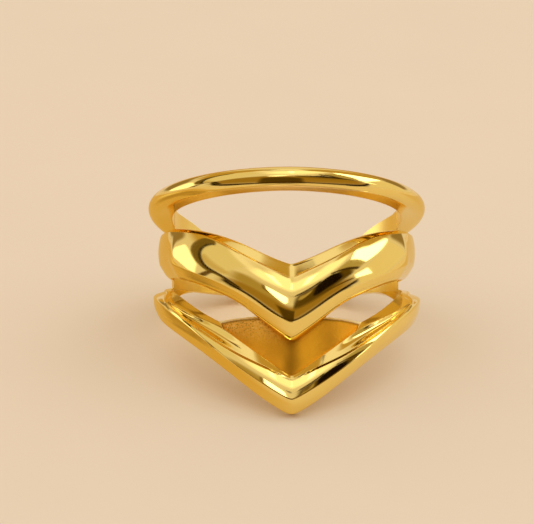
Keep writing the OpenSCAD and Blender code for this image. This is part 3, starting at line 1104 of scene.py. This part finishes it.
# Weak lamp inside the ring, for light that the metal throws down: place and target in metres
BOUNCE_PLACE, BOUNCE_TARGET = (0.0, 0.0075, 0.0062), (0.0, 0.0078, 0.0)
BOUNCE_SIZE, BOUNCE_POWER, BOUNCE_COLOUR = (0.012, 0.006), 0.00015, (1.0, 0.78, 0.5)

# Photograph's view: degrees below the bands' plane and turned about the finger, distance, how far
# the ring's upright origin lies from the optical axis, lens and sensor, in millimetres, and the
# nearest distance drawn, in metres
BELOW_BANDS, TURN = 13.5, 1.6
DISTANCE, ASIDE = 250.0, (1.523, 3.939)
LENS, SENSOR = 222.9, 36.0
NEAREST = 0.01


def along(lines, share):
    """A cross line part of the way through a card, on a smooth curve through its cross lines."""
    place = share * (len(lines) - 1)
    k = min(int(place), len(lines) - 2)
    t = place - k
    before, after = lines[max(k - 1, 0)], lines[min(k + 2, len(lines) - 1)]
    result = []
    for p, q, r, w in zip(before, lines[k], lines[k + 1], after):
        bend = (2 * p - 5 * q + 4 * r - w) * t + (3 * q - p - 3 * r + w) * t * t
        result.append(q + ((r - p) + bend) * t / 2)
    return result


def only_reflected(sheet):
    """Hides a sheet from every ray but those of reflections."""
    for ray in ("camera", "diffuse", "shadow", "transmission", "volume_scatter"):
        setattr(sheet, "visible_" + ray, False)


def card(name, rank, lines, colour, strength, *fades):
    """A curved card with soft edges that shows only in reflections."""
    deselect_all()
    across, up = CARD_GRID
    bpy.ops.mesh.primitive_grid_add(x_subdivisions=across, y_subdivisions=up, size=2.0)
    sheet = bpy.context.object
    sheet.name = name
    for vert in sheet.data.vertices:
        line = along(lines, (vert.co.x + 1) / 2)
        height = (vert.co.y + 1) / 2
        azimuth = blend((line[0], line[2]), height)
        elevation = blend((line[1], line[3]), height)
        vert.co = around(azimuth, elevation, FAR_CARD - rank * CARD_STEP)
    sheet.data.materials.append(glowing(name, colour, strength, fades))
    only_reflected(sheet)


def painted_floor_patch(name, rank, x_low, y_low, x_high, y_high, colour, fade, cover):
    """A soft glowing patch just above the floor that shows only in reflections, as painted shade or
    light on the floor.
    """
    deselect_all()
    bpy.ops.mesh.primitive_plane_add(size=2.0)
    sheet = bpy.context.object
    sheet.name = name
    for vert in sheet.data.vertices:
        x = blend((x_low, x_high), (vert.co.x + 1) / 2)
        y = blend((y_low, y_high), (vert.co.y + 1) / 2)
        vert.co = (x, y, TINT_STEP * (rank + 1))
    sheet.data.materials.append(glowing(name, colour, 1.0, (fade, fade), cover))
    only_reflected(sheet)


def photograph_camera():
    """Places the camera as it stood for the photograph."""
    below, turn = radians(BELOW_BANDS), radians(TURN)
    level = cos(below)
    away = Vector((level * sin(turn), level * cos(turn), sin(below)))
    right = Vector((cos(turn), -sin(turn), 0.0))
    up = right.cross(away)
    place = (-ASIDE[0] * right - ASIDE[1] * up - DISTANCE * away) * MM
    deselect_all()
    bpy.ops.object.camera_add()
    camera = bpy.context.object
    turned = Matrix((right, up, -away)).transposed().to_4x4()
    camera.matrix_world = TO_REST @ Matrix.Translation(place) @ turned
    camera.data.lens = LENS
    camera.data.sensor_width = SENSOR
    camera.data.clip_start = NEAREST
    bpy.context.scene.camera = camera


class RING_OT_stage(bpy.types.Operator):
    """Set up the floor, the lamps, the reflecting cards and the camera"""

    bl_idname = "ring.stage"
    bl_label = "Stage"

    def execute(self, context):
        look = context.scene.ring_look
        context.scene.view_settings.view_transform = "Standard"
        deselect_all()
        bpy.ops.mesh.primitive_plane_add(size=FLOOR_SIZE)
        floor = context.object
        floor.name = "floor"
        floor.data.materials.append(plain("floor", look.floor))
        world = bpy.data.worlds.new("studio")
        context.scene.world = world
        world.use_nodes = True
        air = world.node_tree.nodes["Background"]
        air.inputs["Color"].default_value = AIR_COLOUR
        air.inputs["Strength"].default_value = AIR_STRENGTH
        softbox("overhead", OVERHEAD_SIZE, OVERHEAD_POWER, around(*OVERHEAD_PLACE))
        bounce = softbox(
            "bounce", BOUNCE_SIZE, BOUNCE_POWER, BOUNCE_PLACE, BOUNCE_TARGET, BOUNCE_COLOUR
        )
        bounce.visible_camera = False
        for rank, (name, values) in enumerate(CARDS.items()):
            card(name, rank, *values)
        for rank, (name, values) in enumerate(PAINTED_FLOOR_REFLECTIONS.items()):
            painted_floor_patch(name, rank, *values)
        photograph_camera()
        return {"FINISHED"}


class RING_PT_panel(bpy.types.Panel):
    """The ring's sizes and steps"""

    bl_idname = "RING_PT_panel"
    bl_label = "Chevron ring"
    bl_space_type = "VIEW_3D"
    bl_region_type = "UI"
    bl_category = "Ring"

    def draw(self, context):
        layout = self.layout
        for group in (context.scene.ring_sizes, context.scene.ring_look):
            for name in group.__annotations__:
                layout.prop(group, name)
        for step in STEPS:
            layout.operator(step.bl_idname)


STEPS = (
    RING_OT_top_band,
    RING_OT_middle_band,
    RING_OT_lower_band,
    RING_OT_shank,
    RING_OT_web,
    RING_OT_stage,
)
CLASSES = (RingSizes, RingLook) + STEPS + (RING_PT_panel,)


def register():
    """Adds the classes and the scene's settings."""
    for cls in CLASSES:
        bpy.utils.register_class(cls)
    bpy.types.Scene.ring_sizes = bpy.props.PointerProperty(type=RingSizes)
    bpy.types.Scene.ring_look = bpy.props.PointerProperty(type=RingLook)


def unregister():
    """Takes them away again."""
    del bpy.types.Scene.ring_look
    del bpy.types.Scene.ring_sizes
    for cls in reversed(CLASSES):
        bpy.utils.unregister_class(cls)


def main():
    """Builds the ring and its stage."""
    register()
    bpy.ops.ring.top_band()
    bpy.ops.ring.middle_band()
    bpy.ops.ring.lower_band()
    bpy.ops.ring.shank()
    bpy.ops.ring.web()
    bpy.ops.ring.stage()


if __name__ == "__main__":
    main()
